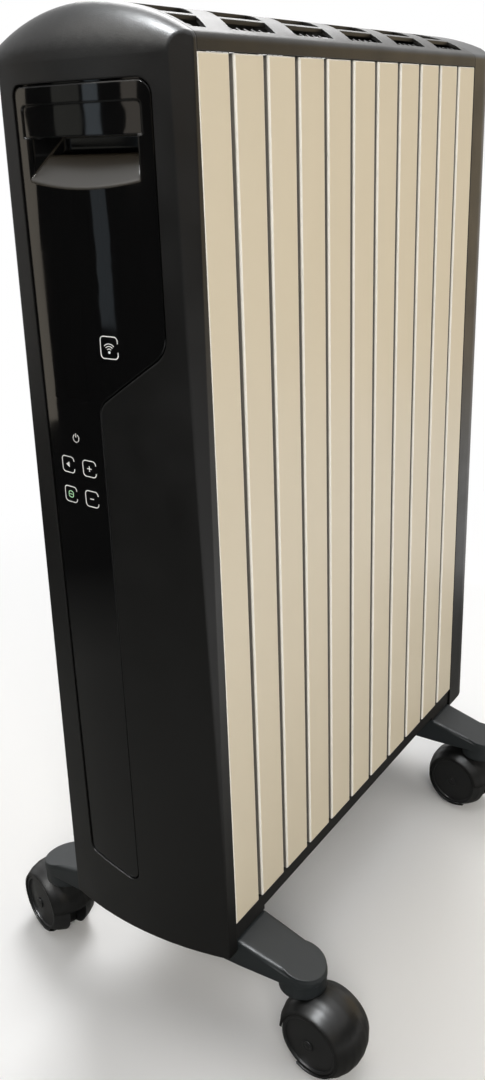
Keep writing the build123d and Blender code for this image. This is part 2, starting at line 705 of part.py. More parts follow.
def rear_solid(inset):
    """The rear cover's full form, inset from its skin by a wall."""
    low = REAR_BOTTOM + inset
    body = along_z(rear_plan(inset), (low, CROWN_TOP + 1))
    body &= along_y(crown_face(inset, low), (REAR_FRONT, REAR_FACE + 1))
    return body & along_x(rear_side(inset, low), (-HALF, HALF))


def make_rear_cover():
    shell = rear_solid(0) - rear_solid(COVER_WALL)
    through = (REAR_FACE - 2 * COVER_WALL, REAR_FACE + 1)
    shell -= rod_y(0, through, GLAND_Z, GLAND_RADIUS + GLAND_CLEAR)
    wide, tall, deep = SWITCH_BODY
    half_x = wide / 2 + SWITCH_CLEAR
    half_z = tall / 2 + SWITCH_CLEAR
    shell -= block((-half_x, half_x), through, (SWITCH_Z - half_z, SWITCH_Z + half_z))
    return shell


def make_cord_cleat():
    """Cord wrap: a base on the rear cover, an oval stem and a wide oval plate."""
    wide, tall, thick = CLEAT_PLATE
    tip = REAR_FACE + CLEAT_REACH
    place = Pos(0, CLEAT_Z)
    plate = along_y(place * SlotOverall(wide, tall), (tip - thick, tip))
    plate = chamfer(plate.edges().group_by(Axis.Y)[-1], thick / 2)
    stem = along_y(place * SlotOverall(*CLEAT_STEM), (REAR_FACE, tip))
    base = along_y(place * SlotOverall(*CLEAT_BASE[:2]), (REAR_FACE, REAR_FACE + CLEAT_BASE[2]))
    hollow = CLEAT_STEM[0] - 4 * COVER_WALL, CLEAT_STEM[1] - 4 * COVER_WALL
    return plate + stem + base - along_y(place * SlotOverall(*hollow), (REAR_FACE, tip - 2 * thick))


def make_cord_gland():
    """Bush with a cord bore: flange outside the rear cover and a collar inside it."""
    outer = REAR_FACE + GLAND_FLANGE_THICK
    inner = outer - GLAND_LENGTH
    collar = REAR_FACE - COVER_WALL
    bush = rod_y(0, (inner, outer), GLAND_Z, GLAND_RADIUS)
    bush += rod_y(0, (REAR_FACE, outer), GLAND_Z, GLAND_FLANGE)
    bush += rod_y(0, (collar - GLAND_FLANGE_THICK, collar), GLAND_Z, GLAND_FLANGE)
    return bush - rod_y(0, (inner, outer), GLAND_Z, GLAND_BORE)


def make_switch_body():
    """Snap-in switch housing with a well for the rocker and two pivot holes."""
    wide, tall, deep = SWITCH_BODY
    flange_wide, flange_tall, flange_thick = SWITCH_FLANGE
    outer = REAR_FACE + flange_thick
    inner = REAR_FACE - deep
    body = block((-wide / 2, wide / 2), (inner, outer), (SWITCH_Z - tall / 2, SWITCH_Z + tall / 2))
    flange_z = (SWITCH_Z - flange_tall / 2, SWITCH_Z + flange_tall / 2)
    flange = block((-flange_wide / 2, flange_wide / 2), (REAR_FACE, outer), flange_z)
    body += fillet(flange.edges().filter_by(Axis.Y), flange_thick)
    room_x = ROCKER[0] / 2 + ROCKER_ROOM / 2
    room_z = ROCKER[1] / 2 + ROCKER_ROOM
    floor = REAR_FACE - deep / 2
    body -= block((-room_x, room_x), (floor, outer), (SWITCH_Z - room_z, SWITCH_Z + room_z))
    pin_x = ROCKER[0] / 2 + ROCKER_PIN_LENGTH + ROCKER_PIN_CLEAR
    hole = Cylinder(ROCKER_PIN + ROCKER_PIN_CLEAR, 2 * pin_x)
    return body - Pos(0, rocker_pivot_y(), SWITCH_Z) * Rot(0, 90, 0) * hole


def rocker_pivot_y():
    return REAR_FACE - ROCKER_PIN_DEEP


def make_switch_rocker():
    """Rocker with a shallow V face and pivot stubs, at rest in its off position."""
    wide, tall = ROCKER
    pivot = rocker_pivot_y()
    top = REAR_FACE + SWITCH_FLANGE[2] + ROCKER_RISE
    edge = top - ROCKER_DRAFT
    middle = top - ROCKER_RISE
    foot = pivot - ROCKER_PIN * 2
    end = tall / 2 - ROCKER_END
    land = end - ROCKER_LAND
    lower = [(foot, -ROCKER_KEEL), (pivot, -end), (edge, -end), (top, -land)]
    upper = [(y, -z) for y, z in reversed(lower)]
    outline = [(y, SWITCH_Z + z) for y, z in [*lower, (middle, 0), *upper]]
    rocker = along_x(make_face(Polyline(*outline, close=True)), (-wide / 2, wide / 2))
    pin = Cylinder(ROCKER_PIN, wide + 2 * ROCKER_PIN_LENGTH)
    rocker += Pos(0, pivot, SWITCH_Z) * Rot(0, 90, 0) * pin
    return rocker.rotate(Axis((0, pivot, SWITCH_Z), (1, 0, 0)), -ROCKER_TILT)


def make_base_tray():
    """Slotted plate under the cores, with side skirts and an end block over each foot."""
    y = (COVER_BACK + SEAM, REAR_FRONT - SEAM)
    tray = block((-TRAY_HALF, TRAY_HALF), y, (TRAY_LOW, TRAY_TOP))
    inside = TRAY_HALF - TRAY_SKIRT
    tray -= block((-inside, inside), y, (TRAY_LOW, TRAY_TOP - TRAY_PLATE))
    for index in range(MODULES - 1):
        gap = module_y(index) + PITCH / 2
        slot = (gap - TRAY_SLOT / 2, gap + TRAY_SLOT / 2)
        tray -= block((-TRAY_SLOT_HALF, TRAY_SLOT_HALF), slot, (TRAY_LOW, TRAY_TOP))
    low = FOOT_TOP + SEAM
    for centre in FOOT_CENTRES.values():
        ends = (centre - FOOT_WIDTH / 2, centre + FOOT_WIDTH / 2)
        shoe = block((-TRAY_HALF, TRAY_HALF), ends, (low, TRAY_TOP - TRAY_PLATE))
        shoe -= block((-inside, inside), (ends[0] + TRAY_SKIRT, ends[1] - TRAY_SKIRT), (low, TRAY_TOP))
        tray += shoe
    return tray


def foot_top(x):
    """Height of a foot's upper face: level under the body, then sloping down along each arm."""
    return FOOT_TOP - FOOT_SLOPE * max(abs(x) - HALF, 0)


def foot_side(inset):
    """Face in X and Z of a foot, seen from the front."""
    reach = FOOT_REACH - inset
    low = FOOT_LOW if inset == 0 else FOOT_LOW - FOOT_WALL
    points = [
        (-reach, low), (reach, low), (reach, foot_top(reach) - inset), (HALF, FOOT_TOP - inset),
        (-HALF, FOOT_TOP - inset), (-reach, foot_top(reach) - inset),
    ]
    return make_face(Polyline(*points, close=True))


def foot_plan(centre, inset):
    """Face in X and Y of a foot: a bar that narrows to a round tip at each end."""
    tip = FOOT_REACH - FOOT_TIP_RADIUS
    wide = FOOT_WIDTH / 2 - inset
    radius = FOOT_TIP_RADIUS - inset
    end = FOOT_REACH - inset
    lines = Line((-HALF, centre - wide), (HALF, centre - wide))
    lines += Line((HALF, centre - wide), (tip, centre - radius))
    lines += ThreePointArc((tip, centre - radius), (end, centre), (tip, centre + radius))
    lines += Line((tip, centre + radius), (HALF, centre + wide))
    lines += Line((HALF, centre + wide), (-HALF, centre + wide))
    lines += Line((-HALF, centre + wide), (-tip, centre + radius))
    lines += ThreePointArc((-tip, centre + radius), (-end, centre), (-tip, centre - radius))
    lines += Line((-tip, centre - radius), (-HALF, centre - wide))
    return make_face(lines)


def is_fold(edge):
    """True for the two lines across a foot where its arms begin to slope."""
    return abs(abs(edge.center().X) - HALF) < SEAM and abs(edge.tangent_at(0.5).Y) > 0.9


def make_foot(centre):
    """Moulded foot, hollow and ribbed from below, with a stem boss at each tip."""
    span = (centre - FOOT_WIDTH, centre + FOOT_WIDTH)
    z = (BOSS_LOW - 1, FOOT_TOP + 1)
    foot = along_y(foot_side(0), span) & along_z(foot_plan(centre, 0), z)
    top = [edge for edge in foot.edges() if edge.center().Z > FOOT_LOW + FOOT_EDGE and not is_fold(edge)]
    foot = fillet([edge for edge in top if abs(edge.tangent_at(0.5).Z) < 0.9], FOOT_EDGE)
    hollow = along_y(foot_side(FOOT_WALL), span) & along_z(foot_plan(centre, FOOT_WALL), z)
    for x in FOOT_RIBS:
        hollow -= both_sides(block((x - FOOT_RIB / 2, x + FOOT_RIB / 2), span, z))
    foot -= hollow
    under = along_y(foot_side(0), span) + block((-FOOT_REACH, FOOT_REACH), span, (BOSS_LOW, FOOT_LOW))
    for side in (-1, 1):
        boss = rod_z(side * STEM_X, centre, (BOSS_LOW, FOOT_TOP), FOOT_TIP_RADIUS)
        foot += boss & under
        bore = (BOSS_LOW, STEM_HIGH + STEM_END_CLEAR)
        foot -= rod_z(side * STEM_X, centre, bore, STEM_RADIUS + STEM_CLEAR)
    return foot


def barrel(radius, y):
    """Ball about the middle of a caster's axle, cut flat at two Y values and turned in a few cones."""
    steps = round((y[1] - y[0]) / BARREL_STEP)
    places = [y[0] + (y[1] - y[0]) * step / steps for step in range(steps + 1)]
    skin = [(sqrt(radius**2 - place**2), place) for place in places]
    profile = make_face(Polyline((0, y[0]), *skin, (0, y[1]), close=True))
    return turn_about_axle(profile)


def turn_about_axle(profile):
    """Turn a half section, drawn as radius and Y, about a caster's axle, with the stem at the origin."""
    section = Plane(origin=(TRAIL, 0, WHEEL_RADIUS), x_dir=(1, 0, 0), z_dir=(0, 0, 1)) * profile
    return revolve(section, Axis((TRAIL, 0, WHEEL_RADIUS), (0, 1, 0)))


def make_hood():
    """Caster hood: a ball cut flat at both wheels, open below, with a web between the wheels."""
    reach = 2 * HOOD_OUTSIDE
    x = (TRAIL - reach, TRAIL + reach)
    hood = barrel(HOOD_OUTSIDE, (-HOOD_HALF, HOOD_HALF)) & block(x, (-reach, reach), (HOOD_LOW, reach * 2))
    web = WHEEL_INNER - WEB_CLEAR
    wells = [barrel(HOOD_INSIDE, y) for y in ((-HOOD_HALF, -web), (web, HOOD_HALF))]
    neck = rod_z(0, 0, (WHEEL_RADIUS, BOSS_LOW - SEAM), NECK_RADIUS)
    hood -= block((x[0], HOOD_FRONT), (-reach, reach), (HOOD_LOW, HOOD_FRONT_LOW))
    hood += neck - block(x, (-reach, reach), (0, HOOD_FRONT_LOW))
    for well in wells:
        hood -= well
    hood -= rod_z(0, 0, (BOSS_LOW - SEAM, 2 * BOSS_LOW), FOOT_TIP_RADIUS + BOSS_CLEAR)
    hood -= rod_z(0, 0, (STEM_LOW, BOSS_LOW), STEM_RADIUS + STEM_CLEAR)
    return hood - rod_y(TRAIL, (-HOOD_HALF, HOOD_HALF), WHEEL_RADIUS, AXLE_RADIUS + AXLE_CLEAR)


def make_pins():
    """Steel stem that swivels in the foot, and the axle of the two wheels."""
    stem = rod_z(0, 0, (STEM_LOW, STEM_HIGH), STEM_RADIUS)
    axle = rod_y(TRAIL, (-AXLE_HALF, AXLE_HALF), WHEEL_RADIUS, AXLE_RADIUS)
    return [stem, axle]


def make_wheel(side):
    """One wheel, turned about its axle: barrel tread, rim, groove and a cone-shaped hub cap."""
    rim = sqrt(WHEEL_SPHERE**2 - WHEEL_OUTER**2)
    bulge = (WHEEL_INNER + WHEEL_OUTER) / 2
    tread = (sqrt(WHEEL_SPHERE**2 - bulge**2), bulge)
    hub = rim - WHEEL_RIM
    groove = hub - HUB_GROOVE
    sink = WHEEL_OUTER - HUB_SINK
    hole = AXLE_RADIUS + AXLE_CLEAR
    end = AXLE_HALF + AXLE_CLEAR
    cap = WHEEL_OUTER + HUB_RISE
    corners = [
        (hole, WHEEL_INNER), (WHEEL_RADIUS, WHEEL_INNER), tread, (rim, WHEEL_OUTER), (hub, WHEEL_OUTER),
        (hub, sink), (groove, sink), (0, cap), (0, end), (hole, end),
    ]
    wheel = turn_about_axle(make_face(Polyline(*corners, close=True)))
    return wheel if side > 0 else mirror(wheel, about=Plane.XZ)


def caster_place(name):
    """Where a caster's stem stands, and which way the caster trails at rest."""
    end, side = name.split("_")
    x = STEM_X if side == "right" else -STEM_X
    return Pos(x, FOOT_CENTRES[end], 0) * Rot(0, 0, CASTER_YAW[name])


def write(name, shape):
    """Write one node as a STEP file."""
    if isinstance(shape, list):
        shape = Compound(children=shape)
    export_step(shape, os.path.join("parts", name + ".step"))


def main():
    os.makedirs("parts", exist_ok=True)
    write("front_cover", make_front_cover())
    write("control_fascia", make_control_fascia())
    write("handle_pocket", make_handle_pocket())
    write("front_frame", make_front_frame())
    write("rear_frame", make_rear_frame())
    write("control_board", make_control_board())
    write("power_board", make_power_board())
    write("top_grille", make_top_grille())
    write("rear_cover", make_rear_cover())
    write("cord_cleat", make_cord_cleat())
    write("cord_gland", make_cord_gland())
    write("switch_body", make_switch_body())
    write("switch_rocker", make_switch_rocker())
    write("base_tray", make_base_tray())
    for index in range(MODULES):
        strip = make_strip(index)
        write(f"right_strip_{index + 1:02d}", strip)
        write(f"left_strip_{index + 1:02d}", mirror(strip, about=Plane.YZ))
    write("module_cores", [make_core(index) for index in range(MODULES)])
    write("heating_elements", [make_element(index) for index in range(MODULES)])
    write("thermal_cutouts", [make_cutout(index) for index in CUTOUT_MODULES])
    write("tie_rods", make_tie_rods())
    for end, centre in FOOT_CENTRES.items():
        write(f"{end}_foot", make_foot(centre))
    hood = make_hood()
    pins = make_pins()
    wheels = {"outer": make_wheel(1), "inner": make_wheel(-1)}
    for name in CASTER_YAW:
        place = caster_place(name)
        write(f"{name}_hood", place * hood)
        write(f"{name}_pins", [place * pin for pin in pins])
        for wheel, shape in wheels.items():
            write(f"{name}_wheel_{wheel}", place * shape)


main()
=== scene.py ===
import json
import math

import bpy
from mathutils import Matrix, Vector


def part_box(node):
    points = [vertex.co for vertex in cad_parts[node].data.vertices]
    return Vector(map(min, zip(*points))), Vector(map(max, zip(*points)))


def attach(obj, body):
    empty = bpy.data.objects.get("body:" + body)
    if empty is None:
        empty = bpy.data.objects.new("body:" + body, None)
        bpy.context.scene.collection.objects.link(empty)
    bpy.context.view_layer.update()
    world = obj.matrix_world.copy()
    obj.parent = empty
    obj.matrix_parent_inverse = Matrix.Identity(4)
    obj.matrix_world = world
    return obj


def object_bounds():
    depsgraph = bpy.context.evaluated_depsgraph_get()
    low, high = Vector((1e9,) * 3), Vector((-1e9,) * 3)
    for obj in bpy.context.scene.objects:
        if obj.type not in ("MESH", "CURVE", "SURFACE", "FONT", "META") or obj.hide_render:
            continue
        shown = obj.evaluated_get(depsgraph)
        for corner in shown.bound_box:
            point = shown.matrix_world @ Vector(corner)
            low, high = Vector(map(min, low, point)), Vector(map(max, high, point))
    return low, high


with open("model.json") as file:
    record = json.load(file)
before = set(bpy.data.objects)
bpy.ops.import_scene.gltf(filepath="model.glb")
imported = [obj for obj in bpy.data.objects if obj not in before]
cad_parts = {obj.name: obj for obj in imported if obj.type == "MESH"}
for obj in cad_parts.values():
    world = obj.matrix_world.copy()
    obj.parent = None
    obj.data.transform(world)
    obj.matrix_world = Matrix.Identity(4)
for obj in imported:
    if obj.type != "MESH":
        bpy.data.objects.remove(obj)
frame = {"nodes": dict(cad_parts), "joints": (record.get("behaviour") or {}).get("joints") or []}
nodes = frame["nodes"]
cad_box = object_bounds()

# Extruded cores: mill-finish aluminium, one behind each pair of strips, cut to length and stacked.
# They show as grey shade in the gaps between the strips and through the vents of the top.
CORE_TONES = ((0.34, 0.33, 0.30), (0.22, 0.21, 0.19))
DIE_STRETCH = (900, 900, 12)
BEVEL_SAMPLES = 6
COLOR_A = 6
COLOR_B = 7
COLOR_RESULT = 2


def new_material(name):
    """A material with its Principled shader, ready for more nodes."""
    material = bpy.data.materials.new(name)
    material.use_nodes = True
    tree = material.node_tree
    return material, tree, tree.nodes["Principled BSDF"]


def add(tree, kind, values=None, links=None):
    """A node with its input values set and its inputs linked."""
    node = tree.nodes.new(kind)
    for socket, value in (values or {}).items():
        node.inputs[socket].default_value = value
    for socket, source in (links or {}).items():
        tree.links.new(source, node.inputs[socket])
    return node


def object_place(tree):
    """The object coordinates of the shaded point."""
    return add(tree, "ShaderNodeTexCoord").outputs["Object"]


def noise(tree, place, scale, detail):
    """A noise over some coordinates, as a share from 0 to 1."""
    texture = add(tree, "ShaderNodeTexNoise", {"Scale": scale, "Detail": detail}, {"Vector": place})
    return texture.outputs["Fac"]


def remap(tree, value, low, high, start, end):
    """A value's range from low to high, carried over to a range from start to end."""
    ranges = {"From Min": low, "From Max": high, "To Min": start, "To Max": end}
    return add(tree, "ShaderNodeMapRange", ranges, {"Value": value}).outputs[0]


def blend_colors(tree, share, low, high):
    """The colour between two colours or colour sockets that a share from 0 to 1 picks."""
    mix = add(tree, "ShaderNodeMix", None, {0: share})
    mix.data_type = "RGBA"
    for socket, color in ((COLOR_A, low), (COLOR_B, high)):
        if isinstance(color, tuple):
            mix.inputs[socket].default_value = (*color, 1)
        else:
            tree.links.new(color, mix.inputs[socket])
    return mix.outputs[COLOR_RESULT]


def dress(tree, shader, tone, rough, height, strength, depth, edge=0.0):
    """Give a shader its colour, roughness and bump, with soft edges where a radius is given."""
    bump = add(tree, "ShaderNodeBump", {"Strength": strength, "Distance": depth}, {"Height": height})
    if edge:
        soft = add(tree, "ShaderNodeBevel", {"Radius": edge})
        soft.samples = BEVEL_SAMPLES
        tree.links.new(soft.outputs[0], bump.inputs["Normal"])
    tree.links.new(tone, shader.inputs["Base Color"])
    tree.links.new(rough, shader.inputs["Roughness"])
    tree.links.new(bump.outputs[0], shader.inputs["Normal"])


def finish_nodes(names, material):
    """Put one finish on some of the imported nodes."""
    for name in names:
        data = nodes[name].data
        data.materials.clear()
        data.materials.append(material)


def surface_group(name, **numbers):
    """A node group with two tones and some numbers as inputs, and a surface's values as outputs."""
    group = bpy.data.node_groups.new(name, "ShaderNodeTree")
    for label in ("Light", "Dark"):
        group.interface.new_socket(label, in_out="INPUT", socket_type="NodeSocketColor")
    for label, value in numbers.items():
        socket = group.interface.new_socket(label, in_out="INPUT", socket_type="NodeSocketFloat")
        socket.default_value = value
    group.interface.new_socket("Color", in_out="OUTPUT", socket_type="NodeSocketColor")
    for label in ("Roughness", "Height"):
        group.interface.new_socket(label, in_out="OUTPUT", socket_type="NodeSocketFloat")
    return group, group.nodes.new("NodeGroupInput").outputs, group.nodes.new("NodeGroupOutput").inputs


def use_group(tree, group, light, dark, **numbers):
    """The outputs of a shared group, run with two tones and some numbers."""
    node = add(tree, "ShaderNodeGroup")
    node.node_tree = group
    node.inputs["Light"].default_value = (*light, 1)
    node.inputs["Dark"].default_value = (*dark, 1)
    for label, value in numbers.items():
        node.inputs[label].default_value = value
    return node.outputs


def drawn_lines():
    """Lines left by an extruding die or a rolling mill: a noise stretched along Z."""
    group, given, made = surface_group("drawn_lines")
    place = object_place(group)
    stretch = add(group, "ShaderNodeMapping", {"Scale": DIE_STRETCH}, {"Vector": place})
    lines = noise(group, stretch.outputs[0], scale=1.0, detail=4.0)
    cloud = noise(group, place, scale=14.0, detail=3.0)
    group.links.new(blend_colors(group, cloud, given["Dark"], given["Light"]), made["Color"])
    group.links.new(remap(group, lines, 0.0, 1.0, start=0.28, end=0.52), made["Roughness"])
    group.links.new(lines, made["Height"])
    return group


DRAWN = drawn_lines()


def drawn_metal(name, light, dark):
    """Bare metal with drawing lines."""
    material, tree, shader = new_material(name)
    skin = use_group(tree, DRAWN, light, dark)
    values = (skin["Color"], skin["Roughness"], skin["Height"])
    dress(tree, shader, *values, strength=0.15, depth=0.0002)
    shader.inputs["Metallic"].default_value = 1.0
    return material


finish_nodes(["module_cores"], drawn_metal("mill_aluminium", *CORE_TONES))

# Heating elements and thermal cut-outs: rolled sheaths that sit in the cores' channels, and pressed
# cans on the webs of two cores.
SHEATH_TONES = ((0.42, 0.42, 0.43), (0.3, 0.3, 0.3))
finish_nodes(["heating_elements", "thermal_cutouts"], drawn_metal("rolled_sheath", *SHEATH_TONES))

# Tie rods, frames and caster pins: zinc-plated steel. The rods run through every core and clamp the
# pile between the two pressed frames; the pins are turned.
ZINC_TONES = ((0.55, 0.56, 0.57), (0.38, 0.39, 0.41))
pins = [name for name in nodes if name.endswith("_pins")]
zinc = drawn_metal("zinc_plate", *ZINC_TONES)
finish_nodes(["tie_rods", "front_frame", "rear_frame", *pins], zinc)

# Control and power boards: green solder mask on glass fibre, with paler tracks under it. Both stand on
# the tabs of the frames.
TRACK_SCALE = 260.0
MASK_TONES = {
    "Color1": (0.012, 0.09, 0.04, 1),
    "Color2": (0.016, 0.11, 0.05, 1),
    "Mortar": (0.03, 0.18, 0.08, 1),
}


def board_material():
    """Solder mask over a pattern of tracks."""
    material, tree, shader = new_material("solder_mask")
    values = {"Scale": TRACK_SCALE, **MASK_TONES}
    tracks = add(tree, "ShaderNodeTexBrick", values, {"Vector": object_place(tree)})
    gloss = remap(tree, tracks.outputs["Fac"], 0.0, 1.0, start=0.3, end=0.45)
    tree.links.new(tracks.outputs["Color"], shader.inputs["Base Color"])
    tree.links.new(gloss, shader.inputs["Roughness"])
    return material


finish_nodes(["control_board", "power_board"], board_material())


# Base tray: powder-coated steel under the cores, folded down along both sides, with a shoe over each
# foot. The coat has the same fine grain and clouding as the mouldings below, only coarser.
def grain_group():
    """Grain of a spark-eroded mould, soft clouding, and smears that change the gloss."""
    group, given, made = surface_group("surface_grain", Grain=1500.0, Smooth=0.35, Rough=0.5)
    place = object_place(group)
    grain = add(group, "ShaderNodeTexNoise", {"Detail": 2.0}, {"Vector": place, "Scale": given["Grain"]})
    cloud = noise(group, place, scale=9.0, detail=5.0)
    smear = noise(group, place, scale=30.0, detail=6.0)
    gloss = {"Value": smear, "To Min": given["Smooth"], "To Max": given["Rough"]}
    rough = add(group, "ShaderNodeMapRange", {"From Min": 0.3, "From Max": 0.7}, gloss)
    group.links.new(blend_colors(group, cloud, given["Dark"], given["Light"]), made["Color"])
    group.links.new(rough.outputs[0], made["Roughness"])
    group.links.new(grain.outputs["Fac"], made["Height"])
    return group


GRAIN = grain_group()


def moulded(name, light, dark, gloss, depth, edge, grain=1500.0, specular=0.3):
    """A grained finish: two tones, the range of its gloss, the grain's depth and the softness of edges."""
    material, tree, shader = new_material(name)
    skin = use_group(tree, GRAIN, light, dark, Grain=grain, Smooth=gloss[0], Rough=gloss[1])
    values = (skin["Color"], skin["Roughness"], skin["Height"])
    dress(tree, shader, *values, strength=0.25, depth=depth, edge=edge)
    shader.inputs["Specular IOR Level"].default_value = specular
    return material


powder = moulded(
    "powder_coat",
    light=(0.010, 0.010, 0.010),
    dark=(0.006, 0.006, 0.006),
    gloss=(0.45, 0.6),
    depth=0.0003,
    edge=0.0008,
    grain=900.0,
)
finish_nodes(["base_tray"], powder)

# Strips: pressed steel trays in warm cream enamel, set over the flanges of the cores. The round edges carry
# a paler cream as a painted highlight, and the folded sides deep in the gaps are dark grey as painted
# shade.
STRIP_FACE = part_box("right_strip_01")[1][0]
EDGE_DEPTH = 0.0002
GAP_SHADE_START = 0.0012
GAP_SHADE_END = 0.0018
CREAM_DARK = (0.64, 0.56, 0.42)
CREAM_LIGHT = (0.675, 0.60, 0.46)
# The pale cream is a painted highlight on the round edges of the strips.
PAINTED_EDGE_HIGHLIGHT = (0.86, 0.83, 0.76)
# The dark grey is painted shade on the folded sides, deep in the gaps.
PAINTED_GAP_SHADE = (0.17, 0.16, 0.14)


def reckon(tree, kind, operation, *given):
    """The outputs of a Math or VectorMath node that works on numbers, vectors or sockets."""
    node = tree.nodes.new("ShaderNode" + kind)
    node.operation = operation
    for socket, value in zip(node.inputs, given):
        if isinstance(value, bpy.types.NodeSocket):
            tree.links.new(value, socket)
        else:
            socket.default_value = value
    return node.outputs


def distance_aside(tree, place):
    """How far a point lies from the middle plane between the heater's two sides."""
    across = add(tree, "ShaderNodeSeparateXYZ", None, {0: place}).outputs["X"]
    return reckon(tree, "Math", "ABSOLUTE", across)[0]


def enamel():
    """Cream enamel with a painted highlight on its round edges, painted shade in the gaps and a faint
    orange peel.
    """
    material, tree, shader = new_material("cream_enamel")
    place = object_place(tree)
    depth = reckon(tree, "Math", "SUBTRACT", STRIP_FACE, distance_aside(tree, place))[0]
    on_face = remap(tree, depth, 0.0, EDGE_DEPTH, start=1.0, end=0.0)
    clear_of_gap_shade = remap(tree, depth, GAP_SHADE_START, GAP_SHADE_END, start=1.0, end=0.0)
    cream = blend_colors(tree, noise(tree, place, scale=6.0, detail=3.0), CREAM_DARK, CREAM_LIGHT)
    # Painted highlight on the round edges, and painted shade deeper in the gaps.
    tone = blend_colors(tree, clear_of_gap_shade, PAINTED_GAP_SHADE, blend_colors(tree, on_face, PAINTED_EDGE_HIGHLIGHT, cream))
    wipe = noise(tree, place, scale=11.0, detail=2.0)
    rough = remap(tree, wipe, 0.15, 0.85, start=0.29, end=0.40)
    peel = noise(tree, place, scale=650.0, detail=1.0)
    dress(tree, shader, tone, rough, peel, strength=0.05, depth=0.0003, edge=0.0012)
    return material


finish_nodes([name for name in nodes if "_strip_" in name], enamel())

# Top grille: crowned moulding in a heat-resistant black with a dull grain, its black tinted warm brown as a
# painted reflection of a warm room. Its slanted vents have fine ribs under them.
grille_black = moulded(
    "grille_black",
    # Both tones are tinted warm brown as a painted reflection.
    light=(0.018, 0.0158, 0.012),
    dark=(0.013, 0.0114, 0.009),
    gloss=(0.36, 0.48),
    depth=0.0003,
    edge=0.0009,
)
finish_nodes(["top_grille"], grille_black)

# Rear cover, cord cleat and gland: satin black mouldings with a fine grain. The flat back of the cover
# rests on the frame's stops; the cleat stands on it and the gland goes through it.
satin_black = moulded(
    "satin_black",
    light=(0.0048, 0.0046, 0.0043),
    dark=(0.0034, 0.0033, 0.0031),
    gloss=(0.34, 0.44),
    depth=0.0002,
    edge=0.0012,
    specular=0.45,
)
finish_nodes(["rear_cover", "cord_cleat", "cord_gland"], satin_black)

# Rear screws: zinc-plated pan heads with a cross recess, one into each stop behind the rear cover.
# The flange of the switch lies on the back of the cover, so its outer face gives the place of the back.
SCREW_RADIUS = 0.0036
SCREW_HEAD = 0.0018
HEAD_ROUND = SCREW_HEAD * 0.45
RECESS_LONG = 0.0042
RECESS_WIDE = 0.0009
RECESS_DEEP = 0.0012
SCREW_PLACES = [(x, z) for x in (-0.024, 0.024) for z in (0.108, 0.590)]
SCREW_TONES = ((0.30, 0.30, 0.31), (0.2, 0.2, 0.21))
SWITCH_FLANGE = 0.002
REAR_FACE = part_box("switch_body")[1][1] - SWITCH_FLANGE
STRAIGHT_UP = 0.9


def edit_faces(piece, test):
    """Go to edit mode with only the faces that pass a test selected."""
    bpy.context.tool_settings.mesh_select_mode = (False, False, True)
    bpy.ops.object.mode_set(mode="EDIT")
    bpy.ops.mesh.select_all(action="DESELECT")
    bpy.ops.object.mode_set(mode="OBJECT")
    for face in piece.data.polygons:
        face.select = test(face)
    bpy.ops.object.mode_set(mode="EDIT")


def top_face(face):
    """A test for the upper end of a primitive, before the primitive's turn is put into its mesh."""
    return face.normal.z > STRAIGHT_UP


def fix_place(piece):
    """Put the place, turn and scale of the active piece into its mesh."""
    bpy.ops.object.transform_apply(location=True, rotation=True, scale=True)
    return piece


def done_editing(piece):
    """Back to object mode, with the place and turn of the piece put into its mesh."""
    bpy.ops.object.mode_set(mode="OBJECT")
    return fix_place(piece)


def screw_head():
    """A pan head on the plane of the cover's back, with its cross cut by two thin blocks."""
    bpy.ops.object.select_all(action="DESELECT")
    bpy.ops.mesh.primitive_cylinder_add(
        vertices=32,
        radius=SCREW_RADIUS,
        depth=SCREW_HEAD,
        location=(0, REAR_FACE + SCREW_HEAD / 2, 0),
        rotation=(-math.pi / 2, 0, 0),
    )
    head = bpy.context.object
    edit_faces(head, top_face)
    bpy.ops.mesh.bevel(offset=HEAD_ROUND, segments=4)
    done_editing(head)
    tip = (0, REAR_FACE + SCREW_HEAD, 0)
    for tilt in (0, math.pi / 2):
        bpy.ops.object.select_all(action="DESELECT")
        bpy.ops.mesh.primitive_cube_add(size=1, location=tip, rotation=(0, tilt, 0))
        blade = bpy.context.object
        blade.scale = (RECESS_LONG, 2 * RECESS_DEEP, RECESS_WIDE)
        fix_place(blade)
        cut = head.modifiers.new("recess", "BOOLEAN")
        cut.operation = "DIFFERENCE"
        cut.object = blade
        bpy.context.view_layer.objects.active = head
        bpy.ops.object.modifier_apply(modifier="recess")
        bpy.data.objects.remove(blade)
    return head


def copy_at(piece, place, turn=(0, 0, 0)):
    """A copy of a modelled piece with a mesh of its own, moved and turned."""
    bpy.ops.object.select_all(action="DESELECT")
    piece.select_set(True)
    bpy.context.view_layer.objects.active = piece
    bpy.ops.object.duplicate()
    copy = bpy.context.object
    copy.location = place
    copy.rotation_euler = turn
    return fix_place(copy)


def join(pieces, name):
    """One object from several new pieces."""
    bpy.ops.object.select_all(action="DESELECT")
    for piece in pieces:
        piece.select_set(True)
    bpy.context.view_layer.objects.active = pieces[0]
    bpy.ops.object.join()
    whole = bpy.context.object
    whole.name = name
    whole.data.name = name
    return whole


screw_pattern = screw_head()
rear_screws = join([copy_at(screw_pattern, (x, 0, z)) for x, z in SCREW_PLACES], "rear_screws")
bpy.data.objects.remove(screw_pattern)
rear_screws.data.materials.append(drawn_metal("screw_zinc", *SCREW_TONES))
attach(rear_screws, "body")

# Main switch: a snap-in housing in satin black and a polished rocker that tips on two stubs in it. The
# flange of the housing lies on the back of the rear cover.
finish_nodes(["switch_body"], satin_black)
rocker_black = moulded(
    "rocker_black",
    light=(0.012, 0.012, 0.012),
    dark=(0.01, 0.01, 0.01),
    gloss=(0.12, 0.2),
    depth=0.00005,
    edge=0.0005,
)
finish_nodes(["switch_rocker"], rocker_black)

# Front cover: one large satin moulding with a domed head, and a bevel that widens up each side. A stepped
# opening in it holds the fascia.
finish_nodes(["front_cover"], satin_black)
